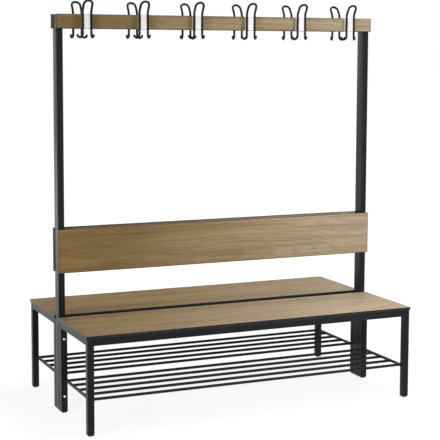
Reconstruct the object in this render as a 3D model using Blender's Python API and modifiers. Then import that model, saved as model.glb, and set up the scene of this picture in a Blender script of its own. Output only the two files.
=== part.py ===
"""Double-sided changing room bench with hook rails and shoe racks.

Metres. X runs along the bench, Z is up from the floor and -Y faces the front. The bench is two equal
halves, back to back: each half is modelled facing -Y, and the rear one is turned half round about Z.
Left and right in a name are as seen by someone who faces that half.
"""
import math

import bmesh
import bpy
from mathutils import Vector

# Clearance kept between pieces that touch
FIT_GAP = 0.0003

# Boards
BOARD_LENGTH = 1.500
BOARD_THICKNESS = 0.012
BOARD_ARRIS = 0.001
BOARD_OVERHANG = 0.0045
SEAT_HEIGHT = 0.4076
SEAT_DEPTH = 0.389
SEAT_CLEARANCE = 0.001
BACKREST_BOTTOM = 0.598
BACKREST_HEIGHT = 0.187
HOOK_RAIL_BOTTOM = 1.6235
HOOK_RAIL_HEIGHT = 0.060

# Steel tubes
UPRIGHT_WIDTH = 0.028
UPRIGHT_DEPTH = 0.054
LEG_SIDE = 0.028
SEAT_RAIL_HEIGHT = 0.028
SEAT_RAIL_WIDTH = 0.028
TUBE_WALL = 0.002
TUBE_CORNER = 0.003
FRAME_SETBACK = 0.0005

# Plastic caps in the tube ends
FOOT_HEIGHT = 0.012
FOOT_ROUNDING = 0.0045
TOP_CAP_HEIGHT = 0.003
TOP_CAP_ROUNDING = 0.0015
TOP_CAP_DROP = 0.001
PLUG_LENGTH = 0.015

# Shoe racks
RACK_HEIGHT = 0.1423
RACK_BAR = 0.012
RACK_END_BAR = 0.013
RACK_BARS = 5
RACK_EDGE = 0.0082

# Through-bolts and their nuts
BOLT_SHANK = 0.006
BOLT_HOLE_PLAY = 0.0003
BOLT_HEAD = 0.0105
BOLT_HEAD_HEIGHT = 0.0033
BOLT_TAIL = 0.008
NUT_ACROSS = 0.010
NUT_HEIGHT = 0.005
BOLT_LOW = 0.073
BOLT_BELOW_RAIL = 0.0466

# Coat hooks
HOOK_COUNT = 6
HOOK_PITCH = 0.250
HOOK_WIRE = 0.010
HOOK_SPREAD = 0.0375
HOOK_STANDOFF = 0.027
HOOK_RISE = 0.0545
HOOK_BEND_START = 0.002
HOOK_BEND_RADIUS = 0.040
HOOK_LEAN = math.radians(32)
HOOK_DROP = 0.036
HOOK_CURL_RADIUS = 0.0131
HOOK_CURL_TURN = math.radians(49.6)
HOOK_CURL_SWEEP = math.radians(160)
BLOCK_GROOVE = 0.002
BLOCK_WALL = 0.0025
BLOCK_ARRIS = 0.0012

# Facets of the round shapes
CORNER_SEGMENTS = 3
ARRIS_SEGMENTS = 1
CAP_SEGMENTS = 3
BAR_SIDES = 12
BOLT_SIDES = 12
NUT_SIDES = 6
DOME_STEPS = 3
CURL_STEPS = 6
BEND_STEPS = 2
LOOP_STEPS = 8

# Places that follow from the sizes above
POST_X = BOARD_LENGTH / 2 - BOARD_OVERHANG - UPRIGHT_WIDTH / 2
UPRIGHT_FACE = UPRIGHT_DEPTH / 2
SEAT_EDGE = UPRIGHT_FACE + SEAT_CLEARANCE + SEAT_DEPTH
INNER_LEG_Y = UPRIGHT_FACE + FIT_GAP + LEG_SIDE / 2
OUTER_LEG_Y = SEAT_EDGE - FRAME_SETBACK - LEG_SIDE / 2
FRAME_TOP = SEAT_HEIGHT - BOARD_THICKNESS - FIT_GAP
SEAT_RAIL_Z = FRAME_TOP - SEAT_RAIL_HEIGHT / 2
BOARD_FACE = UPRIGHT_FACE + FIT_GAP + BOARD_THICKNESS
PLUG_CORNER = max(0.0, TUBE_CORNER - TUBE_WALL)
BOLT_HIGH = FRAME_TOP - SEAT_RAIL_HEIGHT - BOLT_BELOW_RAIL
ENDS = (("left", -1), ("right", 1))
ALONG_X = (0, math.pi / 2, 0)
ALONG_Y = (math.pi / 2, 0, 0)
UPSIDE_DOWN = (math.pi, 0, 0)
LEGS = (("inner", INNER_LEG_Y), ("outer", OUTER_LEG_Y))


def clear_scene():
    """Remove whatever the file holds."""
    for obj in list(bpy.data.objects):
        bpy.data.objects.remove(obj, do_unlink=True)


def new_collection(name):
    """A collection under the scene."""
    collection = bpy.data.collections.new(name)
    bpy.context.scene.collection.children.link(collection)
    return collection


def finish(name, colour, roughness, metallic):
    """A plain painted, moulded or laminated finish."""
    material = bpy.data.materials.new(name)
    material.use_nodes = True
    shader = material.node_tree.nodes["Principled BSDF"]
    shader.inputs["Base Color"].default_value = (*colour, 1.0)
    shader.inputs["Roughness"].default_value = roughness
    shader.inputs["Metallic"].default_value = metallic
    return material


clear_scene()
PARTS = new_collection("changing_room_bench")
CUTTERS = new_collection("cutters")
OAK = finish("oak_decor", (0.36, 0.24, 0.11), 0.45, 0.0)
STEEL = finish("anthracite_steel", (0.035, 0.038, 0.045), 0.45, 0.2)
PLASTIC = finish("black_plastic", (0.015, 0.015, 0.016), 0.5, 0.0)
WIRE = finish("black_wire", (0.012, 0.012, 0.013), 0.35, 0.2)
ZINC = finish("zinc_bolt", (0.75, 0.76, 0.78), 0.3, 1.0)


def add_half(name, turn):
    """Empty that carries one half of the bench."""
    empty = bpy.data.objects.new(name, None)
    empty.rotation_euler.z = turn
    PARTS.objects.link(empty)
    return empty


def add_part(name, mesh, material, place, parent=None, rotation=(0, 0, 0)):
    """One named sub-part in the bench's collection."""
    obj = bpy.data.objects.new(name, mesh)
    if not mesh.materials:
        mesh.materials.append(material)
    obj.location = place
    obj.rotation_euler = rotation
    obj.parent = parent
    PARTS.objects.link(obj)
    return obj


def shade_round(mesh):
    """Smooth shading that keeps the hard edges."""
    mesh.shade_smooth()
    mesh.set_sharp_from_angle(angle=math.radians(40))


def mesh_from(bm, name):
    """Turn an edit mesh into a mesh with its faces pointing out."""
    bmesh.ops.recalc_face_normals(bm, faces=bm.faces)
    mesh = bpy.data.meshes.new(name)
    bm.to_mesh(mesh)
    bm.free()
    return mesh


def block(size):
    """Edit mesh of a box about its centre."""
    bm = bmesh.new()
    bmesh.ops.create_cube(bm, size=1.0)
    bmesh.ops.scale(bm, vec=Vector(size), verts=bm.verts)
    return bm


def edges_along(bm, axis):
    """Edges that run along an axis."""
    return [e for e in bm.edges if abs((e.verts[0].co - e.verts[1].co).normalized()[axis]) > 0.99]


def add_board(name, size, place, parent):
    """Laminated board with its arrises broken."""
    board = add_part(name, mesh_from(block(size), name), OAK, place, parent)
    bevel = board.modifiers.new("arris", "BEVEL")
    bevel.width = BOARD_ARRIS
    bevel.segments = ARRIS_SEGMENTS
    return board


def add_tube(name, width, depth, length, place, parent=None, rotation=(0, 0, 0)):
    """Hollow tube along its own Z: four walls with round corners, open at both ends."""
    bm = block((width, depth, length))
    end_faces = [f for f in bm.faces if abs(f.normal.z) > 0.5]
    bmesh.ops.delete(bm, geom=end_faces, context="FACES_ONLY")
    bmesh.ops.bevel(bm, geom=edges_along(bm, 2), offset=TUBE_CORNER, segments=CORNER_SEGMENTS,
                    profile=0.5, affect="EDGES")
    mesh = mesh_from(bm, name)
    shade_round(mesh)
    tube = add_part(name, mesh, STEEL, place, parent, rotation)
    wall = tube.modifiers.new("wall", "SOLIDIFY")
    wall.thickness = TUBE_WALL
    wall.offset = -1.0
    wall.use_even_offset = True
    return tube


def add_end_cap(name, width, depth, height, rounding, place, parent=None, rotation=(0, 0, 0)):
    """Cap under a tube end: a flange as wide as the tube, rounded below, and a plug that fits inside."""
    bm = block((width, depth, height))
    bmesh.ops.translate(bm, vec=(0, 0, height / 2), verts=bm.verts)
    widest = max(rounding, TUBE_CORNER)
    weights = bm.edges.layers.float.new("bevel_weight_edge")
    for edge in edges_along(bm, 2):
        edge[weights] = TUBE_CORNER / widest
    for edge in bm.edges:
        if all(v.co.z < height / 2 for v in edge.verts):
            edge[weights] = rounding / widest
    top = [f for f in bm.faces if f.normal.z > 0.5]
    bmesh.ops.inset_region(bm, faces=top, thickness=TUBE_WALL + FIT_GAP, use_even_offset=True)
    raised = bmesh.ops.extrude_face_region(bm, geom=top)
    plug_verts = [v for v in raised["geom"] if isinstance(v, bmesh.types.BMVert)]
    bmesh.ops.translate(bm, vec=(0, 0, PLUG_LENGTH), verts=plug_verts)
    bmesh.ops.delete(bm, geom=top, context="FACES_ONLY")
    for edge in edges_along(bm, 2):
        if min(v.co.z for v in edge.verts) > height / 2:
            edge[weights] = PLUG_CORNER / widest
    mesh = mesh_from(bm, name)
    shade_round(mesh)
    cap = add_part(name, mesh, PLASTIC, place, parent, rotation)
    bevel = cap.modifiers.new("rounding", "BEVEL")
    bevel.limit_method = "WEIGHT"
    bevel.width = widest
    bevel.segments = CAP_SEGMENTS
    return cap


def round_bar_mesh(name, length, diameter, sides):
    """Round bar along Z about its centre."""
    bm = bmesh.new()
    bmesh.ops.create_cone(bm, cap_ends=True, segments=sides, radius1=diameter / 2,
                          radius2=diameter / 2, depth=length)
    mesh = mesh_from(bm, name)
    shade_round(mesh)
    return mesh


def evaluated_mesh(obj, name):
    """Mesh of an object with its modifiers or its bevel worked out, caps welded on."""
    bpy.context.view_layer.update()
    depsgraph = bpy.context.evaluated_depsgraph_get()
    mesh = bpy.data.meshes.new_from_object(obj.evaluated_get(depsgraph))
    mesh.name = name
    bm = bmesh.new()
    bm.from_mesh(mesh)
    bmesh.ops.remove_doubles(bm, verts=bm.verts, dist=1e-6)
    bm.to_mesh(mesh)
    bm.free()
    return mesh


def as_cutter(obj):
    """Keep a helper solid out of the finished part."""
    for collection in list(obj.users_collection):
        collection.objects.unlink(obj)
    CUTTERS.objects.link(obj)
    obj.hide_render = True
    obj.display_type = "WIRE"
    return obj


def combine(obj, helper, operation):
    """Cut a helper solid from an object, or weld it on."""
    boolean = obj.modifiers.new(helper.name, "BOOLEAN")
    boolean.operation = operation
    boolean.solver = "EXACT"
    boolean.object = helper


def add_uprights(bores):
    """Two tall tubes with a foot cap below, a flat cap on top and holes for the through-bolts."""
    top = HOOK_RAIL_BOTTOM + HOOK_RAIL_HEIGHT - TOP_CAP_DROP
    tube_low = FOOT_HEIGHT + FIT_GAP
    tube_high = top - TOP_CAP_HEIGHT - FIT_GAP
    for end, side in ENDS:
        x = side * POST_X
        upright = add_tube(f"upright_{end}", UPRIGHT_WIDTH, UPRIGHT_DEPTH, tube_high - tube_low,
                           (x, 0, (tube_low + tube_high) / 2))
        for bore in bores[side]:
            combine(upright, bore, "DIFFERENCE")
        add_end_cap(f"upright_foot_{end}", UPRIGHT_WIDTH, UPRIGHT_DEPTH, FOOT_HEIGHT, FOOT_ROUNDING,
                    (x, 0, 0))
        add_end_cap(f"upright_cap_{end}", UPRIGHT_WIDTH, UPRIGHT_DEPTH, TOP_CAP_HEIGHT, TOP_CAP_ROUNDING,
                    (x, 0, top), rotation=UPSIDE_DOWN)


def add_bolts():
    """Dome-headed bolts from the front leg through the upright to the rear leg, with nuts and bores."""
    grip = INNER_LEG_Y + LEG_SIDE / 2
    length = 2 * grip + FIT_GAP + BOLT_TAIL
    bores = {-1: [], 1: []}
    for end, side in ENDS:
        x = side * POST_X
        for level, z in (("low", BOLT_LOW), ("high", BOLT_HIGH)):
            add_bolt(f"through_bolt_{end}_{level}", length, (x, -grip - FIT_GAP, z))
            hole = round_bar_mesh("bore", 2 * length, BOLT_SHANK + 2 * BOLT_HOLE_PLAY, BOLT_SIDES)
            bore = as_cutter(add_part(f"bore_{end}_{level}", hole, STEEL, (x, 0, z), rotation=ALONG_Y))
            bores[side].append(bore)
            corners = NUT_ACROSS / math.cos(math.pi / NUT_SIDES)
            mesh = round_bar_mesh("nut", NUT_HEIGHT, corners, NUT_SIDES)
            nut = add_part(f"bolt_nut_{end}_{level}", mesh, ZINC, (x, grip + FIT_GAP + NUT_HEIGHT / 2, z),
                           rotation=ALONG_Y)
            combine(nut, bore, "DIFFERENCE")
    return bores


def add_bolt(name, length, place):
    """Turned bolt: its axis is Z, the underside of the head is at zero and the head points up."""
    dome = [(math.sin(t) * BOLT_HEAD / 2, math.cos(t) * BOLT_HEAD_HEIGHT)
            for t in (math.pi / 2 * step / DOME_STEPS for step in range(DOME_STEPS + 1))]
    profile = dome + [(BOLT_SHANK / 2, 0.0), (BOLT_SHANK / 2, -length), (0.0, -length)]
    bm = bmesh.new()
    points = [bm.verts.new((r, 0.0, z)) for r, z in profile]
    for start, stop in zip(points, points[1:]):
        bm.edges.new((start, stop))
    mesh = bpy.data.meshes.new(name)
    bm.to_mesh(mesh)
    bm.free()
    bolt = add_part(name, mesh, ZINC, place, rotation=ALONG_Y)
    turned = bolt.modifiers.new("turned", "SCREW")
    turned.axis = "Z"
    turned.steps = BOLT_SIDES
    turned.render_steps = BOLT_SIDES
    turned.use_merge_vertices = True
    turned.merge_threshold = 0.00001
    return bolt


def add_boards(half, side_name):
    """Seat, backrest and hook rail of one half."""
    add_board(f"seat_board_{side_name}", (BOARD_LENGTH, SEAT_DEPTH, BOARD_THICKNESS),
              (0, -SEAT_EDGE + SEAT_DEPTH / 2, SEAT_HEIGHT - BOARD_THICKNESS / 2), half)
    y = -BOARD_FACE + BOARD_THICKNESS / 2
    add_board(f"backrest_board_{side_name}", (BOARD_LENGTH, BOARD_THICKNESS, BACKREST_HEIGHT),
              (0, y, BACKREST_BOTTOM + BACKREST_HEIGHT / 2), half)
    add_board(f"hook_rail_{side_name}", (BOARD_LENGTH, BOARD_THICKNESS, HOOK_RAIL_HEIGHT),
              (0, y, HOOK_RAIL_BOTTOM + HOOK_RAIL_HEIGHT / 2), half)


def add_seat_frame(half, side_name, bores, turned):
    """Four legs with foot caps, two long rails and two end rails under one seat."""
    leg_low = FOOT_HEIGHT + FIT_GAP
    leg_length = FRAME_TOP - leg_low
    for end, side in ENDS:
        x = side * POST_X
        for row, y in LEGS:
            leg = add_tube(f"{row}_leg_{side_name}_{end}", LEG_SIDE, LEG_SIDE, leg_length,
                           (x, -y, leg_low + leg_length / 2), half)
            add_end_cap(f"{row}_foot_{side_name}_{end}", LEG_SIDE, LEG_SIDE, FOOT_HEIGHT, FOOT_ROUNDING,
                        (x, -y, 0), half)
            if row == "inner":
                for bore in bores[-side if turned else side]:
                    combine(leg, bore, "DIFFERENCE")
        end_length = OUTER_LEG_Y - INNER_LEG_Y - LEG_SIDE - 2 * FIT_GAP
        add_tube(f"end_rail_{side_name}_{end}", SEAT_RAIL_WIDTH, SEAT_RAIL_HEIGHT, end_length,
                 (x, -(INNER_LEG_Y + OUTER_LEG_Y) / 2, SEAT_RAIL_Z), half, ALONG_Y)
    long_length = 2 * POST_X - LEG_SIDE - 2 * FIT_GAP
    for row, y in LEGS:
        add_tube(f"{row}_rail_{side_name}", SEAT_RAIL_HEIGHT, SEAT_RAIL_WIDTH, long_length,
                 (0, -y, SEAT_RAIL_Z), half, ALONG_X)


def add_shoe_rack(half, side_name):
    """Welded rack under one seat: bars along the bench between two end bars that meet the legs."""
    inner_face = INNER_LEG_Y + LEG_SIDE / 2
    outer_face = OUTER_LEG_Y - LEG_SIDE / 2
    depth = outer_face - inner_face
    end_x = POST_X - LEG_SIDE / 2 + RACK_END_BAR / 2
    pieces = []
    for side in (-1, 1):
        mesh = round_bar_mesh("end_bar", depth - 2 * FIT_GAP, RACK_END_BAR, BAR_SIDES)
        place = (side * end_x, -(inner_face + outer_face) / 2, RACK_HEIGHT)
        pieces.append(add_part("end_bar", mesh, STEEL, place, rotation=ALONG_Y))
    pitch = (depth - 2 * RACK_EDGE) / (RACK_BARS - 1)
    for number in range(RACK_BARS):
        mesh = round_bar_mesh("long_bar", 2 * end_x, RACK_BAR, BAR_SIDES)
        place = (0, -(inner_face + RACK_EDGE + number * pitch), RACK_HEIGHT)
        pieces.append(add_part("long_bar", mesh, STEEL, place, rotation=ALONG_X))
    rack = pieces.pop(0)
    for piece in pieces:
        combine(rack, piece, "UNION")
    mesh = evaluated_mesh(rack, f"shoe_rack_{side_name}")
    mesh.transform(rack.matrix_world)
    for piece in pieces + [rack]:
        bpy.data.objects.remove(piece, do_unlink=True)
    add_part(f"shoe_rack_{side_name}", mesh, STEEL, (0, 0, 0), half)


def hook_centre_line():
    """Points along the wire of a hook, from its right-hand tip over the loop to its left-hand tip.

    The origin is on the face of the hook rail, at its lower edge, and the hook stands out along -Y.
    """
    half_spread = HOOK_SPREAD / 2
    upward = Vector((0, 0, 1))
    outward = Vector((math.cos(HOOK_CURL_TURN), math.sin(HOOK_CURL_TURN), 0))
    leg_foot = Vector((half_spread, -HOOK_STANDOFF, HOOK_CURL_RADIUS - HOOK_DROP))
    curl_centre = leg_foot + outward * HOOK_CURL_RADIUS
    right = []
    for step in range(CURL_STEPS + 1):
        turn = math.pi - HOOK_CURL_SWEEP * (1 - step / CURL_STEPS)
        right.append(curl_centre + (outward * math.cos(turn) - upward * math.sin(turn)) * HOOK_CURL_RADIUS)

    bend = Vector((half_spread, -HOOK_STANDOFF - HOOK_BEND_RADIUS, HOOK_RAIL_HEIGHT + HOOK_BEND_START))
    for step in range(BEND_STEPS + 1):
        lean = HOOK_LEAN * step / BEND_STEPS
        right.append(bend + Vector((0, math.cos(lean), math.sin(lean))) * HOOK_BEND_RADIUS)

    leaning = Vector((0, -math.sin(HOOK_LEAN), math.cos(HOOK_LEAN)))
    rise_left = HOOK_RAIL_HEIGHT + HOOK_RISE - right[-1].z
    loop_centre = right[-1] + leaning * (rise_left / math.cos(HOOK_LEAN) - half_spread)
    loop_centre.x = 0.0
    loop = []
    for step in range(LOOP_STEPS + 1):
        turn = math.pi * step / LOOP_STEPS
        loop.append(loop_centre + (Vector((math.cos(turn), 0, 0)) + leaning * math.sin(turn)) * half_spread)

    left = [Vector((-p.x, p.y, p.z)) for p in reversed(right)]
    return right + loop + left


def wire_mesh(points, diameter):
    """Round wire along the points, closed at both tips."""
    curve = bpy.data.curves.new("wire", "CURVE")
    curve.dimensions = "3D"
    curve.bevel_depth = diameter / 2
    curve.bevel_resolution = 2
    curve.use_fill_caps = True
    spline = curve.splines.new("POLY")
    spline.points.add(len(points) - 1)
    for knot, point in zip(spline.points, points):
        knot.co = (*point, 1.0)
    obj = bpy.data.objects.new("wire", curve)
    PARTS.objects.link(obj)
    mesh = evaluated_mesh(obj, "wire")
    bpy.data.objects.remove(obj, do_unlink=True)
    return mesh


def hook_mesh():
    """Bent wire welded to the hollow block that holds it off the rail."""
    width = HOOK_SPREAD - HOOK_WIRE + 2 * BLOCK_GROOVE
    depth = HOOK_STANDOFF - FIT_GAP
    bm = block((width, depth, HOOK_RAIL_HEIGHT))
    bmesh.ops.translate(bm, vec=(0, -FIT_GAP - depth / 2, HOOK_RAIL_HEIGHT / 2), verts=bm.verts)
    back = [f for f in bm.faces if f.normal.y > 0.5]
    bmesh.ops.delete(bm, geom=back, context="FACES_ONLY")
    closed_edges = [e for e in bm.edges if len(e.link_faces) == 2]
    bmesh.ops.bevel(bm, geom=closed_edges, offset=BLOCK_ARRIS, segments=ARRIS_SEGMENTS, profile=0.5,
                    affect="EDGES")
    holder = add_part("hook_block", mesh_from(bm, "hook_block"), WIRE, (0, 0, 0))
    shell = holder.modifiers.new("wall", "SOLIDIFY")
    shell.thickness = BLOCK_WALL
    shell.offset = -1.0
    shell.use_even_offset = True
    wire = add_part("hook_wire", wire_mesh(hook_centre_line(), HOOK_WIRE), WIRE, (0, 0, 0))
    combine(holder, wire, "UNION")
    mesh = evaluated_mesh(holder, "coat_hook")
    shade_round(mesh)
    for helper in (wire, holder):
        bpy.data.objects.remove(helper, do_unlink=True)
    return mesh


def add_hooks(half, side_name, mesh):
    """Row of coat hooks along one hook rail, numbered from the left."""
    for number in range(HOOK_COUNT):
        x = (number - (HOOK_COUNT - 1) / 2) * HOOK_PITCH
        add_part(f"coat_hook_{side_name}_{number + 1}", mesh, WIRE, (x, -BOARD_FACE, HOOK_RAIL_BOTTOM), half)


def main():
    """Build the uprights, then each half of the bench."""
    bores = add_bolts()
    add_uprights(bores)
    hook = hook_mesh()
    for side_name, turned in (("front", False), ("rear", True)):
        half = add_half(f"half_{side_name}", math.pi if turned else 0.0)
        add_boards(half, side_name)
        add_seat_frame(half, side_name, bores, turned)
        add_shoe_rack(half, side_name)
        add_hooks(half, side_name, hook)


main()
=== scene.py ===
"""Looks of a double-sided changing room bench with hook rails and shoe racks.

Metres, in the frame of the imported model: X along the bench, -Y to the front, Z up from the floor. Pieces
take their places and main sizes from the boxes of the model's nodes.
"""

import math

import bmesh
import bpy
from mathutils import Matrix, Vector


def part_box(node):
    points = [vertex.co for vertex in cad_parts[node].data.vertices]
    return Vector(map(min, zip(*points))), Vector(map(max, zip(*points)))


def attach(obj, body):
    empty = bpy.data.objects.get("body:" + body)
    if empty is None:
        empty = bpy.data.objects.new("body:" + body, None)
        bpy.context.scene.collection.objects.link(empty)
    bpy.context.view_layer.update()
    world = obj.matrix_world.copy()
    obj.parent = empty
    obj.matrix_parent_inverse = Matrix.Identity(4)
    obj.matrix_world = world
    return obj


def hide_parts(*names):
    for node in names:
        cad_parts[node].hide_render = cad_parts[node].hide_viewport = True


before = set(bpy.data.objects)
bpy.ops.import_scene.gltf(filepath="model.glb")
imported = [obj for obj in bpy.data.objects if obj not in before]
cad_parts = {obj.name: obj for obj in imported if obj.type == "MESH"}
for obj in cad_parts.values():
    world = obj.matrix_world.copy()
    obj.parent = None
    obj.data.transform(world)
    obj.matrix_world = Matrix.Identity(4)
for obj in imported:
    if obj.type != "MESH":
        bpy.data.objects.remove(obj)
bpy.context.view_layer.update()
BODY = "root"
HALVES = ("front", "rear")
ROWS = ("inner", "outer")
ENDS = ("left", "right")
LEVELS = ("low", "high")

# Boards: laminated panel inside a band of black edging
BAND = 0.0020
BAND_ARRIS = 0.0010
BAND_CORNER = 0.0025
PANEL_CHAMFER = 0.00015

# Steel tubes
TUBE_CORNER = 0.003
TUBE_WALL = 0.002
TUBE_END_BREAK = 0.0003

# Plastic caps in the tubes: corners grow by a share of the inset, up to a share of the room that is left
CAP_LEDGE = 0.0004
CAP_CORNER_GROWTH = 0.25
CAP_CORNER_LIMIT = 0.9
FOOT_ROUNDING = 0.0105
TOP_CAP_ROUNDING = 0.0015
PLUG_LENGTH = 0.015
PLUG_GAP = 0.0003

# Weld beads: steps are counted to a ripple, and the taper is a power
WELD_RADIUS = 0.0022
WELD_RIPPLE = 0.00022
WELD_PITCH = 0.0022
WELD_STEPS = 4
WELD_SIDES = 10
WELD_TAPER = 8

# Shoe racks
RACK_BAR = 0.012
RACK_END_BAR = 0.013
RACK_BARS = 5
RACK_EDGE = 0.0082
RACK_BAR_SINK = 0.0015
RACK_BAR_WELD = 0.0011
RACK_END_WELD = 0.0022

# Through-bolts, nuts and seat screws
BOLT_SHANK = 0.006
BOLT_HEAD_HEIGHT = 0.0033
BOLT_RIM = 0.0006
DOME_TURN = math.radians(62)
SOCKET_ACROSS = 0.004
SOCKET_DEPTH = 0.0017
SOCKET_FLOOR = 0.001
SOCKET_CHAMFER = 0.0003
SOCKET_CHAMFER_DEPTH = 0.0002
NUT_FLANGE = 0.0132
NUT_FLANGE_HEIGHT = 0.0009
NUT_ACROSS = 0.010
NUT_CHAMFER = 0.0005
THREAD_PITCH = 0.001
THREAD_DEPTH = 0.0003
THREAD_STEPS = 8
SCREW_HEAD = 0.009
SCREW_HEAD_HEIGHT = 0.0024
SCREWS_PER_RAIL = 4

# Coat hooks: the wire's tip is a share of its thickness, and points within the merge distance are joined
HOOK_COUNT = 6
HOOK_WIRE = 0.010
HOOK_SPREAD = 0.0375
HOOK_STANDOFF = 0.027
HOOK_RISE = 0.0545
HOOK_BEND_START = 0.002
HOOK_BEND_RADIUS = 0.040
HOOK_LEAN = math.radians(32)
HOOK_DROP = 0.036
HOOK_CURL_RADIUS = 0.0131
HOOK_CURL_TURN = math.radians(49.6)
HOOK_CURL_SWEEP = math.radians(160)
WIRE_TIP = 0.001
WIRE_MERGE = 0.00001

# Blocks that carry the hooks, and the blank plates on them
HOLDER_GAP = 0.0003
HOLDER_GROOVE = 0.002
HOLDER_PLAY = 0.0002
HOLDER_ARRIS = 0.0012
PLATE_WIDTH = 0.0252
PLATE_PROUD = 0.0009
PLATE_DEPTH = 0.0012
PLATE_CORNER = 0.0022
PLATE_ROUNDING = 0.0005

# Steps of round shapes: on a full circle, a quarter turn, a small arris, a rack bar and parts of a hook
CIRCLE = 36
QUARTER = 8
ARRIS_STEPS = 4
BAR_SIDES = 24
CURL_STEPS = 24
LOOP_STEPS = 32
WIRE_BEVEL = 4
WIRE_TIP_STEPS = 6

# Edges that turn more than this stay hard
SHARP = math.radians(35)

# Oak decor: colours are linear, a grain is noise cycles to the metre along each axis, and each layer has
# a share of its tint at the two ends of a range of its mask
OAK_TONES = ((0.32, (0.192, 0.122, 0.042)), (0.5, (0.247, 0.163, 0.060)), (0.68, (0.306, 0.211, 0.085)))
TONE_GRAIN = (1.1, 15, 15)
# Painted sheen: a pale tint over the oak that grows towards the right-hand end and the front of the bench,
# with a wandering edge
PAINTED_SHEEN_TINT = (0.510, 0.415, 0.295)
PAINTED_SHEEN_GRAIN = (1.8, 9, 9)
PAINTED_SHEEN_SHIFT = (7.3, 2.2, 0.4)
PAINTED_SHEEN_LEAN = -0.9
PAINTED_SHEEN_SHARE = (0.0, 0.76)
PAINTED_SHEEN_RANGE = (0.0, 1.2)
STREAK_TINT = (0.150, 0.088, 0.032)
STREAK_GRAIN = (2.6, 90, 90)
STREAK_SHARE = (0.40, 0.0)
STREAK_RANGE = (0.36, 0.56)
RING_TINT = (0.140, 0.080, 0.028)
RING_PITCH = 0.021
RING_SHARE = (0.0, 0.16)
RING_RANGE = (-0.2, 1.0)
FLAME_GRAIN = (1.6, 6, 6)
FLAME_SHIFT = (3.1, 0.7, 1.9)
FLAME_BEND = 0.34
FLECK_TINT = (0.420, 0.305, 0.150)
FLECK_GRAIN = (9, 520, 520)
FLECK_SHARE = (0.0, 0.30)
FLECK_RANGE = (0.52, 0.72)
PORE_TINT = (0.085, 0.048, 0.018)
PORE_GRAIN = (26, 1500, 1500)
PORE_SHARE = (0.5, 0.0)
PORE_RANGE = (0.33, 0.42)
PORE_DEPTH = 0.0002
OAK_ROUGHNESS = (0.76, 0.66)
OAK_SPECULAR = 0.12

# Plastic, powder coat and zinc: grains as for the oak
NOISE_RANGE = (0.3, 0.7)
MOTTLE_GRAIN = (35, 35, 35)
MOTTLE_RANGE = (0.35, 0.65)
MOULD_GLOSS_SWING = 0.06
COAT_TONE_GRAIN = (6, 6, 6)
COAT_PEEL_GRAIN = (850, 850, 850)
COAT_PEEL_DEPTH = 0.00012
COAT_SPARKLE_GRAIN = (2600, 2600, 2600)
COAT_GLOSS_SWING = 0.07
DUST_TINT = (0.16, 0.15, 0.135)
DUST_GRAIN = (60, 60, 22)
DUST_SHARE = (0.0, 0.20)
DUST_RANGE = (0.48, 0.75)
DUST_HEIGHT = 0.16
ZINC_TONES = ((0.66, 0.68, 0.71), (0.84, 0.85, 0.87))
ZINC_CLOUD_GRAIN = (420, 420, 420)
ZINC_MARK_GRAIN = (3500, 900, 3500)
ZINC_MARK_DEPTH = 0.00005
ZINC_ROUGHNESS = (0.22, 0.36)

# Sockets of a colour Mix node, which share their names with those for other kinds of value
MIX_SHARE, MIX_BASE, MIX_TINT, MIX_RESULT = 0, 6, 7, 2

# Studio: the floor's glow grows over a distance, and each light has its name, its place, the point that
# it faces, its width and height, and its power in watts
FLOOR_SIDE = 30.0
FLOOR_GLOW = (0.86, 1.0)
FLOOR_FADE = (1.0, 3.5)
FLOOR_CATCH = 0.22
FLOOR_BOUNCE = 0.8
FILL = 0.25
BACKDROP = 1.0
LIGHTS = (
    ("key", (0.6, -1.4, 1.1), (0.5, 0.0, 0.95), (0.8, 0.8), 13),
    ("left", (-3.2, -2.2, 1.2), (0.0, 0.0, 0.9), (1.0, 1.0), 52),
    ("left_back", (-2.4, 3.0, 0.4), (-0.7, 0.0, 0.3), (1.4, 0.8), 9),
    ("right_back", (2.6, 2.4, 1.2), (0.6, -0.1, 0.4), (1.2, 1.0), 12),
    ("back", (-0.6, 4.2, 1.8), (0.2, 0.0, 0.9), (1.4, 1.2), 16),
    ("top", (0.7, 0.0, 3.2), (0.4, 0.0, 0.4), (1.8, 1.2), 48),
)

# Camera: fitted to the photograph's 440 x 440 frame, with less shift than the photograph's crop has
IMAGE_SIDE = 440
CAMERA_PLACE = (-2.236, -5.053, 1.524)
CAMERA_YAW = math.radians(23.96)
CAMERA_PITCH = math.radians(-5.62)
CAMERA_ROLL = math.radians(0.20)
FOCAL_PIXELS = 1249.3
CAMERA_SHIFT = -0.10
SENSOR = 36.0


# Mesh building

def outline(width, depth, radius):
    """Points of a rectangle with round corners, anticlockwise about the origin."""
    points = []
    corners = ((1, 1), (-1, 1), (-1, -1), (1, -1))
    for quarter, (side_x, side_y) in enumerate(corners):
        centre = Vector((side_x * (width / 2 - radius), side_y * (depth / 2 - radius), 0))
        for step in range(QUARTER + 1):
            turn = math.pi / 2 * (quarter + step / QUARTER)
            points.append(centre + Vector((math.cos(turn), math.sin(turn), 0)) * radius)
    return points


def circle(radius, count=CIRCLE):
    """Points of a circle about the origin."""
    turns = (2 * math.pi * step / count for step in range(count))
    return [Vector((math.cos(turn), math.sin(turn), 0)) * radius for turn in turns]


def hexagon(across):
    """Points of a hexagon, one for each point of a circle."""
    points = []
    for step in range(CIRCLE):
        turn = 2 * math.pi * step / CIRCLE
        from_flat = (turn % (math.pi / 3)) - math.pi / 6
        points.append(Vector((math.cos(turn), math.sin(turn), 0)) * (across / 2 / math.cos(from_flat)))
    return points


def quarter_arc(radius, steps):
    """Inset and depth of points round an edge, from its flat face to its side."""
    turns = (math.pi / 2 * step / steps for step in range(steps + 1))
    return [(radius * (1 - math.sin(turn)), radius * (1 - math.cos(turn))) for turn in turns]


def mirrored(points):
    """The points on the other side of X = 0, in reverse order."""
    return [Vector((-point.x, point.y, point.z)) for point in reversed(points)]


def raised(points, height):
    """Points moved up."""
    return [point + Vector((0, 0, height)) for point in points]


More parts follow.
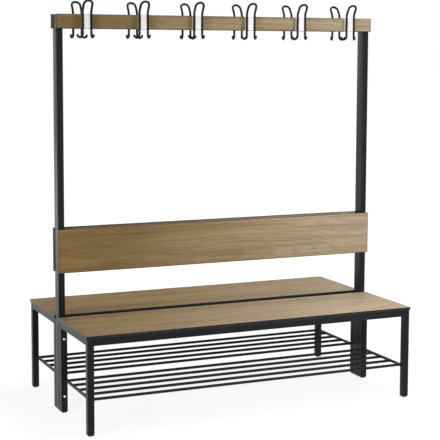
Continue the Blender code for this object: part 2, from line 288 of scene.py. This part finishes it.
def inset_ring(width, depth, corner, inset, height):
    """Outline of a rectangle made smaller all round, at a height."""
    return raised(outline(width - 2 * inset, depth - 2 * inset, corner), height)


def loft(surface, rings, closed=False):
    """Add the surface through a row of equal rings; closed joins the last ring to the first."""
    rows = [[surface.verts.new(point) for point in ring] for ring in rings]
    pairs = list(zip(rows, rows[1:]))
    if closed:
        pairs.append((rows[-1], rows[0]))
    for low, high in pairs:
        for start in range(len(low)):
            stop = (start + 1) % len(low)
            surface.faces.new((low[start], low[stop], high[stop], high[start]))
    if not closed:
        surface.faces.new(list(reversed(rows[0])))
        surface.faces.new(rows[-1])


def mesh_of(surface, name):
    """Turn an edit mesh into a mesh that is smooth but for its hard edges."""
    bmesh.ops.recalc_face_normals(surface, faces=surface.faces)
    mesh = bpy.data.meshes.new(name)
    surface.to_mesh(mesh)
    surface.free()
    mesh.shade_smooth()
    mesh.set_sharp_from_angle(angle=SHARP)
    return mesh


def lofted(name, rings, closed=False):
    """Mesh of one lofted surface."""
    surface = bmesh.new()
    loft(surface, rings, closed)
    return mesh_of(surface, name)


def add_piece(name, mesh, material, place=None, stands_for=()):
    """Put a piece of the bench in the scene, on its body."""
    obj = bpy.data.objects.new(name, mesh)
    if not mesh.materials:
        mesh.materials.append(material)
    if place is not None:
        obj.matrix_world = place
    bpy.context.scene.collection.objects.link(obj)
    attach(obj, BODY)
    if stands_for:
        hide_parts(*stands_for)


def half_turn(half):
    """Turn about Z that takes the front half to this half."""
    return Matrix.Rotation(math.pi if half == "rear" else 0.0, 4, "Z")


# Materials

def add_node(tree, kind, inputs=None, **settings):
    """Add a node; each input is a value or the socket that feeds it."""
    node = tree.nodes.new(kind)
    for key, value in settings.items():
        setattr(node, key, value)
    for key, value in (inputs or {}).items():
        if isinstance(value, bpy.types.NodeSocket):
            tree.links.new(value, node.inputs[key])
        else:
            node.inputs[key].default_value = value
    return node


def new_material(name):
    """Material with its node tree, its Principled shader and its object coordinates."""
    material = bpy.data.materials.new(name)
    material.use_nodes = True
    tree = material.node_tree
    shader = tree.nodes["Principled BSDF"]
    place = add_node(tree, "ShaderNodeTexCoord").outputs["Object"]
    return material, tree, shader, place


def calculated(tree, operation, *values):
    """Result of a Math node."""
    return add_node(tree, "ShaderNodeMath", dict(enumerate(values)), operation=operation).outputs[0]


def stretched_noise(tree, place, grain, detail=3.0, roughness=0.55, shift=(0, 0, 0)):
    """Noise whose grain is scaled differently along each axis."""
    spot = add_node(tree, "ShaderNodeMapping", {"Vector": place, "Scale": grain, "Location": shift})
    noise = add_node(tree, "ShaderNodeTexNoise", {"Vector": spot.outputs["Vector"], "Scale": 1.0,
                                                  "Detail": detail, "Roughness": roughness})
    return noise.outputs["Fac"]


def ramp(tree, factor, *stops):
    """Colour ramp through (position, colour) stops."""
    node = add_node(tree, "ShaderNodeValToRGB", {"Fac": factor})
    elements = node.color_ramp.elements
    while len(elements) < len(stops):
        elements.new(1.0)
    for element, (position, colour) in zip(elements, stops):
        element.position = position
        element.color = (*colour, 1.0)
    return node.outputs["Color"]


def spread(tree, value, result, source=NOISE_RANGE):
    """Map the source range of a value to the range of the result."""
    inputs = {"Value": value, "From Min": source[0], "From Max": source[1],
              "To Min": result[0], "To Max": result[1]}
    return add_node(tree, "ShaderNodeMapRange", inputs).outputs["Result"]


def tinted(tree, share, colour, tint):
    """Colour with a share of a tint over it."""
    inputs = {MIX_SHARE: share, MIX_BASE: colour, MIX_TINT: (*tint, 1.0)}
    return add_node(tree, "ShaderNodeMix", inputs, data_type="RGBA").outputs[MIX_RESULT]


def bumped(tree, shader, height, strength, distance):
    """Feed a height to the shader as bump."""
    bump = add_node(tree, "ShaderNodeBump", {"Height": height, "Strength": strength, "Distance": distance})
    tree.links.new(bump.outputs["Normal"], shader.inputs["Normal"])


def painted_sheen(tree, place, axes):
    """Mask of painted sheen: it rises to the right and to the front, and wanders on the way."""
    wander = stretched_noise(tree, place, PAINTED_SHEEN_GRAIN, detail=2.0, roughness=0.5, shift=PAINTED_SHEEN_SHIFT)
    along = calculated(tree, "ADD", axes["X"], wander)
    return calculated(tree, "MULTIPLY_ADD", axes["Y"], PAINTED_SHEEN_LEAN, along)


def growth_rings(tree, place, axes):
    """Wave across the grain that noise bends into flames."""
    flame = stretched_noise(tree, place, FLAME_GRAIN, detail=1.0, roughness=0.4, shift=FLAME_SHIFT)
    across = calculated(tree, "ADD", axes["Y"], axes["Z"])
    bent = calculated(tree, "ADD", across, calculated(tree, "MULTIPLY", flame, FLAME_BEND))
    return calculated(tree, "SINE", calculated(tree, "MULTIPLY", bent, 2 * math.pi / RING_PITCH))


def oak_laminate():
    """Satin oak decor along X: flamed rings, streaks, flecks and pores, and a painted sheen that pales it to
    the right and front.
    """
    material, tree, shader, place = new_material("oak_laminate")
    axes = add_node(tree, "ShaderNodeSeparateXYZ", {"Vector": place}).outputs
    tone = stretched_noise(tree, place, TONE_GRAIN, detail=2.0)
    streak = stretched_noise(tree, place, STREAK_GRAIN, detail=4.0, roughness=0.6)
    fleck = stretched_noise(tree, place, FLECK_GRAIN, detail=3.0, roughness=0.65)
    pore = stretched_noise(tree, place, PORE_GRAIN, detail=2.0, roughness=0.5)
    # The first layer is painted sheen, which pales the oak towards the right-hand end and the front
    layers = ((painted_sheen(tree, place, axes), PAINTED_SHEEN_SHARE, PAINTED_SHEEN_RANGE, PAINTED_SHEEN_TINT),
              (streak, STREAK_SHARE, STREAK_RANGE, STREAK_TINT),
              (growth_rings(tree, place, axes), RING_SHARE, RING_RANGE, RING_TINT),
              (fleck, FLECK_SHARE, FLECK_RANGE, FLECK_TINT),
              (pore, PORE_SHARE, PORE_RANGE, PORE_TINT))
    colour = ramp(tree, tone, *OAK_TONES)
    for mask, share, source, tint in layers:
        colour = tinted(tree, spread(tree, mask, share, source), colour, tint)
    tree.links.new(colour, shader.inputs["Base Color"])
    tree.links.new(spread(tree, fleck, OAK_ROUGHNESS), shader.inputs["Roughness"])
    shader.inputs["Specular IOR Level"].default_value = OAK_SPECULAR
    bumped(tree, shader, pore, strength=0.15, distance=PORE_DEPTH)
    return material


def moulded(name, dark, light, roughness, grain, depth, specular):
    """Moulded plastic: a faint mottle, uneven gloss and an eroded mould surface."""
    material, tree, shader, place = new_material(name)
    mottle = stretched_noise(tree, place, MOTTLE_GRAIN, detail=3.0)
    erosion = stretched_noise(tree, place, (grain, grain, grain), detail=2.0, roughness=0.6)
    tree.links.new(ramp(tree, mottle, *zip(MOTTLE_RANGE, (dark, light))), shader.inputs["Base Color"])
    gloss = (roughness - MOULD_GLOSS_SWING, roughness + MOULD_GLOSS_SWING)
    tree.links.new(spread(tree, erosion, gloss), shader.inputs["Roughness"])
    shader.inputs["Specular IOR Level"].default_value = specular
    bumped(tree, shader, erosion, strength=0.25, distance=depth)
    return material


def powder_coat(name, dark, light, roughness, specular):
    """Powder-coated steel: fine orange peel, slight tone changes, and dust low down where shoes pass."""
    material, tree, shader, place = new_material(name)
    tone = stretched_noise(tree, place, COAT_TONE_GRAIN, detail=3.0)
    peel = stretched_noise(tree, place, COAT_PEEL_GRAIN, detail=2.0, roughness=0.5)
    sparkle = stretched_noise(tree, place, COAT_SPARKLE_GRAIN, detail=1.0, roughness=0.5)
    cloud = stretched_noise(tree, place, DUST_GRAIN, detail=4.0, roughness=0.65)
    height = add_node(tree, "ShaderNodeSeparateXYZ", {"Vector": place}).outputs["Z"]
    low = spread(tree, height, (1.0, 0.0), (0.0, DUST_HEIGHT))
    dust = calculated(tree, "MULTIPLY", low, spread(tree, cloud, DUST_SHARE, DUST_RANGE))
    coat = ramp(tree, tone, *zip(NOISE_RANGE, (dark, light)))
    tree.links.new(tinted(tree, dust, coat, DUST_TINT), shader.inputs["Base Color"])
    gloss = (roughness - COAT_GLOSS_SWING, roughness + COAT_GLOSS_SWING)
    tree.links.new(spread(tree, sparkle, gloss), shader.inputs["Roughness"])
    shader.inputs["Specular IOR Level"].default_value = specular
    bumped(tree, shader, peel, strength=0.2, distance=COAT_PEEL_DEPTH)
    return material


def zinc_plate():
    """Bright zinc plate with a slight cloud and fine turning marks."""
    material, tree, shader, place = new_material("zinc_plate")
    cloud = stretched_noise(tree, place, ZINC_CLOUD_GRAIN, detail=3.0)
    marks = stretched_noise(tree, place, ZINC_MARK_GRAIN, detail=2.0)
    tree.links.new(ramp(tree, cloud, *zip(NOISE_RANGE, ZINC_TONES)), shader.inputs["Base Color"])
    tree.links.new(spread(tree, marks, ZINC_ROUGHNESS), shader.inputs["Roughness"])
    shader.inputs["Metallic"].default_value = 1.0
    bumped(tree, shader, marks, strength=0.1, distance=ZINC_MARK_DEPTH)
    return material


OAK = oak_laminate()
EDGING = moulded("black_edging", dark=(0.006, 0.006, 0.007), light=(0.010, 0.010, 0.011), roughness=0.42,
                 grain=1400, depth=0.00006, specular=0.28)
COAT = powder_coat("anthracite_coat", dark=(0.009, 0.0095, 0.0115), light=(0.013, 0.0135, 0.016),
                   roughness=0.34, specular=0.12)
BAR_COAT = powder_coat("rack_coat", dark=(0.006, 0.006, 0.008), light=(0.010, 0.010, 0.012),
                       roughness=0.45, specular=0.15)
PLASTIC = moulded("black_plastic", dark=(0.010, 0.010, 0.011), light=(0.016, 0.016, 0.017), roughness=0.50,
                  grain=1100, depth=0.00008, specular=0.25)
WIRE_COAT = moulded("black_wire_coat", dark=(0.004, 0.004, 0.005), light=(0.007, 0.007, 0.008),
                    roughness=0.42, grain=700, depth=0.00005, specular=0.12)
WHITE = moulded("white_plate", dark=(0.84, 0.85, 0.85), light=(0.90, 0.90, 0.90), roughness=0.42,
                grain=900, depth=0.00005, specular=0.5)
ZINC = zinc_plate()


# Boards

def add_board(node, kind, half):
    """Panel with a laminated face on both sides, inside a band of edging with broken arrises."""
    low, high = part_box(node)
    size = high - low
    upright = size.y < size.z
    length, width, thickness = (size.x, size.z, size.y) if upright else (size.x, size.y, size.z)
    place = Matrix.Translation((low + high) / 2)
    if upright:
        place = place @ Matrix.Rotation(math.pi / 2, 4, "X")

    def ring(inset, height):
        return inset_ring(length, width, max(BAND_CORNER - inset, PANEL_CHAMFER), inset, height)

    face = thickness / 2
    arris = [(inset, face - depth) for inset, depth in quarter_arc(BAND_ARRIS, ARRIS_STEPS)]
    profile = [(BAND, -face)] + [(inset, -height) for inset, height in arris]
    profile += [*reversed(arris), (BAND, face)]
    band = lofted(f"{kind}_edging_{half}", [ring(*point) for point in profile], closed=True)
    chamfer = BAND + PANEL_CHAMFER
    flat = face - PANEL_CHAMFER
    panel_profile = ((chamfer, -face), (BAND, -flat), (BAND, flat), (chamfer, face))
    panel = lofted(f"{kind}_panel_{half}", [ring(*point) for point in panel_profile])
    for mesh in (band, panel):
        mesh.transform(place)
    add_piece(f"{kind}_panel_{half}", panel, OAK, stands_for=(node,))
    add_piece(f"{kind}_edging_{half}", band, EDGING)


# Steel frame

def add_tube(node):
    """Hollow tube with round corners along the longest side of its node."""
    low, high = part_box(node)
    size = high - low
    axis = max(range(3), key=lambda index: size[index])
    turn = {0: Matrix.Rotation(math.pi / 2, 4, "Y"), 1: Matrix.Rotation(math.pi / 2, 4, "X"),
            2: Matrix.Identity(4)}[axis]
    width, depth = {0: (size.z, size.y), 1: (size.x, size.z), 2: (size.x, size.y)}[axis]
    end = size[axis] / 2

    def ring(inset, height):
        return inset_ring(width, depth, max(TUBE_CORNER - inset, TUBE_END_BREAK), inset, height)

    profile = ((TUBE_END_BREAK, -end), (0.0, TUBE_END_BREAK - end), (0.0, end - TUBE_END_BREAK),
               (TUBE_END_BREAK, end), (TUBE_WALL, end), (TUBE_WALL, -end))
    mesh = lofted(node, [ring(*point) for point in profile], closed=True)
    mesh.transform(Matrix.Translation((low + high) / 2) @ turn)
    add_piece(f"{node}_tube", mesh, COAT, stands_for=(node,))


def add_cap(node, rounding, on_top=False):
    """Moulded cap: a rounded end as wide as the tube, and the plug that holds it inside."""
    low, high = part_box(node)
    size = high - low
    flange = size.z - PLUG_LENGTH
    plug = TUBE_WALL + PLUG_GAP

    def end_ring(inset, height):
        room = min(size.x, size.y) / 2 - inset
        corner = min(TUBE_CORNER + CAP_CORNER_GROWTH * inset, CAP_CORNER_LIMIT * room)
        return inset_ring(size.x, size.y, corner, inset, height)

    def plug_ring(inset, height):
        return inset_ring(size.x, size.y, TUBE_CORNER - TUBE_WALL, inset, height)

    end_profile = quarter_arc(rounding, QUARTER) + [(0.0, flange - CAP_LEDGE), (CAP_LEDGE, flange)]
    plug_profile = ((plug, flange), (plug, size.z - CAP_LEDGE), (plug + CAP_LEDGE, size.z))
    rings = [end_ring(*point) for point in end_profile] + [plug_ring(*point) for point in plug_profile]
    mesh = lofted(node, rings)
    centre = (low + high) / 2
    if on_top:
        mesh.transform(Matrix.Translation((centre.x, centre.y, high.z)) @ Matrix.Rotation(math.pi, 4, "X"))
    else:
        mesh.transform(Matrix.Translation((centre.x, centre.y, low.z)))
    add_piece(f"{node}_moulding", mesh, PLASTIC, stands_for=(node,))


def weld_bead(surface, start, stop, lean):
    """Rippled fillet bead in the corner along a joint; lean points out of the corner."""
    along = stop - start
    count = max(2, round(along.length / WELD_PITCH * WELD_STEPS))
    side = along.normalized().cross(lean).normalized()
    rings = []
    for step in range(count + 1):
        share = step / count
        taper = math.sqrt(max(0.0, 1 - (2 * share - 1) ** WELD_TAPER))
        ripple = WELD_RIPPLE * math.sin(2 * math.pi * share * along.length / WELD_PITCH)
        radius = max((WELD_RADIUS + ripple) * taper, WELD_RIPPLE)
        centre = start + along * share
        rings.append([centre + lean * point.x + side * point.y for point in circle(radius, WELD_SIDES)])
    loft(surface, rings)


def add_frame_welds(half):
    """Fillet welds under the seat rails, where they meet the legs."""
    surface = bmesh.new()
    inset = TUBE_CORNER
    for row in ROWS:
        low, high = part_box(f"{row}_rail_{half}")
        for x, out in ((low.x, 1), (high.x, -1)):
            start = Vector((x, low.y + inset, low.z))
            stop = Vector((x, high.y - inset, low.z))
            weld_bead(surface, start, stop, Vector((out, 0, -1)).normalized())
    for end in ENDS:
        low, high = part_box(f"end_rail_{half}_{end}")
        for y, out in ((low.y, 1), (high.y, -1)):
            start = Vector((low.x + inset, y, low.z))
            stop = Vector((high.x - inset, y, low.z))
            weld_bead(surface, start, stop, Vector((0, out, -1)).normalized())
    add_piece(f"frame_welds_{half}", mesh_of(surface, f"frame_welds_{half}"), COAT)


def round_bar(surface, start, stop, radius, flare):
    """Round bar from point to point, with a weld fillet flared out at each end."""
    along = stop - start
    length = along.length
    turn = along.normalized().to_track_quat("Z", "Y").to_matrix()
    fillet = quarter_arc(flare, ARRIS_STEPS)
    stations = fillet + [(extra, length - offset) for extra, offset in reversed(fillet)]
    rings = [[start + turn @ point for point in raised(circle(radius + extra, BAR_SIDES), offset)]
             for extra, offset in stations]
    loft(surface, rings)


def add_rack(half):
    """Shoe rack: two end bars welded to the legs, and the long bars welded between them."""
    node = f"shoe_rack_{half}"
    low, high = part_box(node)
    height = (low.z + high.z) / 2
    end_x = high.x - RACK_END_BAR / 2
    surface = bmesh.new()
    for side in (-1, 1):
        round_bar(surface, Vector((side * end_x, low.y, height)), Vector((side * end_x, high.y, height)),
                  RACK_END_BAR / 2, RACK_END_WELD)
    reach = end_x - RACK_END_BAR / 2 + RACK_BAR_SINK
    pitch = (high.y - low.y - 2 * RACK_EDGE) / (RACK_BARS - 1)
    for number in range(RACK_BARS):
        y = low.y + RACK_EDGE + number * pitch
        round_bar(surface, Vector((-reach, y, height)), Vector((reach, y, height)),
                  RACK_BAR / 2, RACK_BAR_WELD)
    add_piece(f"rack_bars_{half}", mesh_of(surface, f"rack_bars_{half}"), BAR_COAT,
              stands_for=(node,))


# Fasteners

def socket_head(radius, height):
    """Rings of a dome head, from its underside over the dome to the floor of its hexagon socket."""
    rings = [circle(radius - BOLT_RIM / 2), raised(circle(radius), BOLT_RIM / 2)]
    dome_start = math.asin(BOLT_RIM / height)
    for step in range(QUARTER + 1):
        turn = dome_start + (DOME_TURN - dome_start) * step / QUARTER
        rings.append(raised(circle(radius * math.cos(turn) / math.cos(dome_start)), height * math.sin(turn)))
    flat = height * math.sin(DOME_TURN)
    rings.append(raised(hexagon(SOCKET_ACROSS + SOCKET_CHAMFER), flat))
    rings.append(raised(hexagon(SOCKET_ACROSS), flat - SOCKET_CHAMFER_DEPTH))
    rings.append(raised(hexagon(SOCKET_ACROSS), flat - SOCKET_DEPTH))
    rings.append(raised(circle(SOCKET_FLOOR), flat - SOCKET_DEPTH))
    return rings


def thread(length):
    """Rings of a threaded tail, from its end up to the plain shank."""
    count = round(length / THREAD_PITCH * THREAD_STEPS)
    rings = []
    for step in range(count + 1):
        height = length * step / count
        fade = min(1.0, (count - step) / THREAD_STEPS)
        tip = min(0.0, height - THREAD_DEPTH)
        ring = []
        for index, point in enumerate(circle(1.0)):
            phase = (height / THREAD_PITCH - index / CIRCLE) % 1.0
            cut = THREAD_DEPTH * fade * abs(2 * phase - 1)
            ring.append(point * (BOLT_SHANK / 2 - cut + tip))
        rings.append(raised(ring, height))
    return rings


def add_bolt(end, level):
    """Dome-headed bolt with a hexagon socket and a threaded tail that starts at its nut."""
    node = f"through_bolt_{end}_{level}"
    low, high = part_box(node)
    nut_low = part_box(f"bolt_nut_{end}_{level}")[0]
    centre = (low + high) / 2
    head_under = -(low.y + BOLT_HEAD_HEIGHT)
    rings = [raised(ring, -high.y) for ring in thread(high.y - nut_low.y)]
    rings.append(raised(circle(BOLT_SHANK / 2), head_under))
    rings += [raised(ring, head_under) for ring in socket_head((high.x - low.x) / 2, BOLT_HEAD_HEIGHT)]
    mesh = lofted(f"dome_bolt_{end}_{level}", rings)
    mesh.transform(Matrix.Translation((centre.x, 0, centre.z)) @ Matrix.Rotation(math.pi / 2, 4, "X"))
    add_piece(f"dome_bolt_{end}_{level}", mesh, ZINC, stands_for=(node,))


def add_nut(end, level):
    """Hexagon nut with a flange and a chamfered bore."""
    node = f"bolt_nut_{end}_{level}"
    low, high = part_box(node)
    centre = (low + high) / 2
    height = high.y - low.y
    bore = BOLT_SHANK / 2
    flange = NUT_FLANGE / 2
    rings = [circle(flange),
             raised(circle(flange), NUT_FLANGE_HEIGHT / 2),
             raised(circle(flange - NUT_FLANGE_HEIGHT / 2), NUT_FLANGE_HEIGHT),
             raised(hexagon(NUT_ACROSS), NUT_FLANGE_HEIGHT + NUT_CHAMFER),
             raised(hexagon(NUT_ACROSS), height - NUT_CHAMFER),
             raised(circle(NUT_ACROSS / 2 - NUT_CHAMFER / 2), height),
             raised(circle(bore + NUT_CHAMFER), height),
             raised(circle(bore), height - NUT_CHAMFER),
             circle(bore)]
    mesh = lofted(f"flange_nut_{end}_{level}", rings, closed=True)
    mesh.transform(Matrix.Translation((centre.x, low.y, centre.z)) @ Matrix.Rotation(-math.pi / 2, 4, "X"))
    add_piece(f"flange_nut_{end}_{level}", mesh, ZINC, stands_for=(node,))


def add_seat_screws(half):
    """Socket-headed screws that come up through the long seat rails into the board."""
    surface = bmesh.new()
    for row in ROWS:
        low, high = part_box(f"{row}_rail_{half}")
        y = (low.y + high.y) / 2
        for number in range(SCREWS_PER_RAIL):
            x = low.x + (high.x - low.x) * (number + 0.5) / SCREWS_PER_RAIL
            downward = Matrix.Translation((x, y, low.z)) @ Matrix.Rotation(math.pi, 4, "X")
            rings = socket_head(SCREW_HEAD / 2, SCREW_HEAD_HEIGHT)
            loft(surface, [[downward @ point for point in ring] for ring in rings])
    add_piece(f"seat_screws_{half}", mesh_of(surface, f"seat_screws_{half}"), ZINC)


# Coat hooks

def hook_line(rail_height):
    """Points along the wire of a hook, from its right-hand tip over the loop to its left-hand tip.

    The origin is on the face of the hook rail, at its lower edge, and the hook stands out along -Y.
    """
    half_spread = HOOK_SPREAD / 2
    upward = Vector((0, 0, 1))
    outward = Vector((math.cos(HOOK_CURL_TURN), math.sin(HOOK_CURL_TURN), 0))
    leg_foot = Vector((half_spread, -HOOK_STANDOFF, HOOK_CURL_RADIUS - HOOK_DROP))
    curl_centre = leg_foot + outward * HOOK_CURL_RADIUS
    right = []
    for step in range(CURL_STEPS + 1):
        turn = math.pi - HOOK_CURL_SWEEP * (1 - step / CURL_STEPS)
        right.append(curl_centre + (outward * math.cos(turn) - upward * math.sin(turn)) * HOOK_CURL_RADIUS)
    bend = Vector((half_spread, -HOOK_STANDOFF - HOOK_BEND_RADIUS, rail_height + HOOK_BEND_START))
    for step in range(QUARTER + 1):
        lean = HOOK_LEAN * step / QUARTER
        right.append(bend + Vector((0, math.cos(lean), math.sin(lean))) * HOOK_BEND_RADIUS)
    leaning = Vector((0, -math.sin(HOOK_LEAN), math.cos(HOOK_LEAN)))
    rise_left = rail_height + HOOK_RISE - right[-1].z
    loop_centre = right[-1] + leaning * (rise_left / math.cos(HOOK_LEAN) - half_spread)
    loop_centre.x = 0.0
    loop = []
    for step in range(LOOP_STEPS + 1):
        turn = math.pi * step / LOOP_STEPS
        loop.append(loop_centre + (Vector((math.cos(turn), 0, 0)) + leaning * math.sin(turn)) * half_spread)
    return right + loop + mirrored(right)


def wire_mesh(points):
    """Round wire along the points, with a ball end at each tip."""
    curve = bpy.data.curves.new("hook_wire", "CURVE")
    curve.dimensions = "3D"
    curve.bevel_depth = HOOK_WIRE / 2
    curve.bevel_resolution = WIRE_BEVEL
    first = (points[0] - points[1]).normalized()
    last = (points[-1] - points[-2]).normalized()
    turns = [math.pi / 2 * step / WIRE_TIP_STEPS for step in range(1, WIRE_TIP_STEPS + 1)]
    ball = [(HOOK_WIRE / 2 * math.sin(turn), max(math.cos(turn), WIRE_TIP)) for turn in turns]
    line = [(points[0] + first * out, size) for out, size in reversed(ball)]
    line += [(point, 1.0) for point in points]
    line += [(points[-1] + last * out, size) for out, size in ball]
    spline = curve.splines.new("POLY")
    spline.points.add(len(line) - 1)
    for knot, (point, size) in zip(spline.points, line):
        knot.co = (*point, 1.0)
        knot.radius = size
    obj = bpy.data.objects.new("hook_wire", curve)
    bpy.context.scene.collection.objects.link(obj)
    bpy.context.view_layer.update()
    mesh = bpy.data.meshes.new_from_object(obj.evaluated_get(bpy.context.evaluated_depsgraph_get()))
    bpy.data.objects.remove(obj, do_unlink=True)
    surface = bmesh.new()
    surface.from_mesh(mesh)
    bmesh.ops.remove_doubles(surface, verts=surface.verts, dist=WIRE_MERGE)
    bmesh.ops.holes_fill(surface, edges=surface.edges)
    bpy.data.meshes.remove(mesh)
    return mesh_of(surface, "hook_wire")


def holder_mesh(rail_height):
    """White block that carries the wire: its front corners are hollowed for the two legs."""
    half_width = (HOOK_SPREAD - HOOK_WIRE) / 2 + HOLDER_GROOVE
    seat = HOOK_WIRE / 2 + HOLDER_PLAY
    leg_x = HOOK_SPREAD / 2
    side_turn = math.acos((half_width - leg_x) / seat)
    right = [Vector((half_width, -HOLDER_GAP, 0))]
    for step in range(QUARTER + 1):
        turn = side_turn + (math.pi - side_turn) * step / QUARTER
        right.append(Vector((leg_x + seat * math.cos(turn), -HOOK_STANDOFF + seat * math.sin(turn), 0)))
    section = right + mirrored(right)
    centre = Vector((0, -HOOK_STANDOFF / 2, 0))

    def ring(inset, height):
        squeeze = Vector((1 - inset / half_width, 1 - 2 * inset / HOOK_STANDOFF, 1))
        return raised([centre + (point - centre) * squeeze for point in section], height)

    arris = quarter_arc(HOLDER_ARRIS, ARRIS_STEPS)
    rings = [ring(inset, depth) for inset, depth in arris]
    rings += [ring(inset, rail_height - depth) for inset, depth in reversed(arris)]
    return lofted("hook_holder", rings)


def plate_mesh(rail_height):
    """Blank plate let into the front of the block."""
    profile = [(0.0, -PLATE_DEPTH)]
    profile += [(inset, PLATE_PROUD - depth)
                for inset, depth in reversed(quarter_arc(PLATE_ROUNDING, ARRIS_STEPS))]
    rings = [inset_ring(PLATE_WIDTH, rail_height, PLATE_CORNER - inset, inset, height)
             for inset, height in profile]
    mesh = lofted("hook_plate", rings)
    mesh.transform(Matrix.Translation((0, -HOOK_STANDOFF, rail_height / 2))
                   @ Matrix.Rotation(math.pi / 2, 4, "X"))
    return mesh


def add_hooks():
    """Wire, block and blank plate of each coat hook."""
    low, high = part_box("hook_rail_front")
    rail_height = high.z - low.z
    wire = wire_mesh(hook_line(rail_height))
    holder = holder_mesh(rail_height)
    plate = plate_mesh(rail_height)
    for half in HALVES:
        rail_low, rail_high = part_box(f"hook_rail_{half}")
        face = rail_low.y if half == "front" else rail_high.y
        for number in range(1, HOOK_COUNT + 1):
            node = f"coat_hook_{half}_{number}"
            node_low, node_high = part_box(node)
            x = (node_low.x + node_high.x) / 2
            place = Matrix.Translation((x, face, rail_low.z)) @ half_turn(half)
            add_piece(f"hook_wire_{half}_{number}", wire, WIRE_COAT, place, (node,))
            add_piece(f"hook_holder_{half}_{number}", holder, WHITE, place)
            add_piece(f"hook_plate_{half}_{number}", plate, WHITE, place)


# Stage

def grey(level):
    """Neutral colour of a level, where 1 is white."""
    return (level, level, level, 1.0)


def seen_directly(tree):
    """1 for rays from the camera and for those seen in gloss or glass, else 0."""
    rays = add_node(tree, "ShaderNodeLightPath").outputs
    gloss = calculated(tree, "MAXIMUM", rays["Is Glossy Ray"], rays["Is Transmission Ray"])
    return calculated(tree, "MAXIMUM", rays["Is Camera Ray"], gloss)


def add_floor():
    """White floor that runs into the backdrop and keeps a soft shadow."""
    material = bpy.data.materials.new("studio_floor")
    material.use_nodes = True
    tree = material.node_tree
    tree.nodes.clear()
    place = add_node(tree, "ShaderNodeTexCoord").outputs["Object"]
    away = add_node(tree, "ShaderNodeVectorMath", {0: place}, operation="LENGTH").outputs["Value"]
    strength = spread(tree, away, FLOOR_GLOW, FLOOR_FADE)
    glow = add_node(tree, "ShaderNodeEmission", {"Color": grey(1.0), "Strength": strength})
    catch = add_node(tree, "ShaderNodeBsdfDiffuse", {"Color": grey(FLOOR_CATCH)})
    shown = add_node(tree, "ShaderNodeAddShader", {0: glow.outputs[0], 1: catch.outputs[0]})
    bounce = add_node(tree, "ShaderNodeBsdfDiffuse", {"Color": grey(FLOOR_BOUNCE)})
    mix = add_node(tree, "ShaderNodeMixShader", {0: seen_directly(tree), 1: bounce.outputs[0],
                                                 2: shown.outputs[0]})
    add_node(tree, "ShaderNodeOutputMaterial", {"Surface": mix.outputs[0]})
    surface = bmesh.new()
    bmesh.ops.create_grid(surface, x_segments=1, y_segments=1, size=FLOOR_SIDE / 2)
    mesh = bpy.data.meshes.new("studio_floor")
    surface.to_mesh(mesh)
    surface.free()
    mesh.materials.append(material)
    floor = bpy.data.objects.new("studio_floor", mesh)
    bpy.context.scene.collection.objects.link(floor)


def add_world():
    """White backdrop for the eye and a soft fill for the surfaces."""
    world = bpy.data.worlds.new("studio")
    bpy.context.scene.world = world
    world.use_nodes = True
    tree = world.node_tree
    strength = spread(tree, seen_directly(tree), (FILL, BACKDROP), (0.0, 1.0))
    background = tree.nodes["Background"]
    background.inputs["Color"].default_value = grey(1.0)
    tree.links.new(strength, background.inputs["Strength"])


def add_light(name, place, target, size, power):
    """Soft rectangular light that faces a point."""
    lamp = bpy.data.lights.new(name, "AREA")
    lamp.shape = "RECTANGLE"
    lamp.size, lamp.size_y = size
    lamp.energy = power
    obj = bpy.data.objects.new(name, lamp)
    obj.location = place
    obj.rotation_euler = (Vector(target) - Vector(place)).to_track_quat("-Z", "Y").to_euler()
    bpy.context.scene.collection.objects.link(obj)


def add_camera():
    """Camera close to the photograph's place and angle."""
    camera = bpy.data.cameras.new("camera")
    camera.sensor_width = SENSOR
    camera.lens = FOCAL_PIXELS / IMAGE_SIDE * SENSOR
    camera.shift_y = CAMERA_SHIFT
    obj = bpy.data.objects.new("camera", camera)
    turn = Matrix.Rotation(-CAMERA_YAW, 4, "Z") @ Matrix.Rotation(math.pi / 2 + CAMERA_PITCH, 4, "X")
    obj.matrix_world = Matrix.Translation(CAMERA_PLACE) @ turn @ Matrix.Rotation(CAMERA_ROLL, 4, "Z")
    bpy.context.scene.collection.objects.link(obj)
    bpy.context.scene.camera = obj


def build_bench():
    """All pieces of the bench."""
    for half in HALVES:
        add_board(f"seat_board_{half}", "seat", half)
        add_board(f"backrest_board_{half}", "backrest", half)
        add_board(f"hook_rail_{half}", "hook_rail", half)
        for row in ROWS:
            add_tube(f"{row}_rail_{half}")
            for end in ENDS:
                add_tube(f"{row}_leg_{half}_{end}")
                add_cap(f"{row}_foot_{half}_{end}", FOOT_ROUNDING)
        for end in ENDS:
            add_tube(f"end_rail_{half}_{end}")
        add_frame_welds(half)
        add_rack(half)
        add_seat_screws(half)
    for end in ENDS:
        add_tube(f"upright_{end}")
        add_cap(f"upright_foot_{end}", FOOT_ROUNDING)
        add_cap(f"upright_cap_{end}", TOP_CAP_ROUNDING, on_top=True)
        for level in LEVELS:
            add_bolt(end, level)
            add_nut(end, level)
    add_hooks()


build_bench()
add_floor()
add_world()
for light in LIGHTS:
    add_light(*light)
add_camera()
bpy.context.scene.view_settings.view_transform = "Standard"
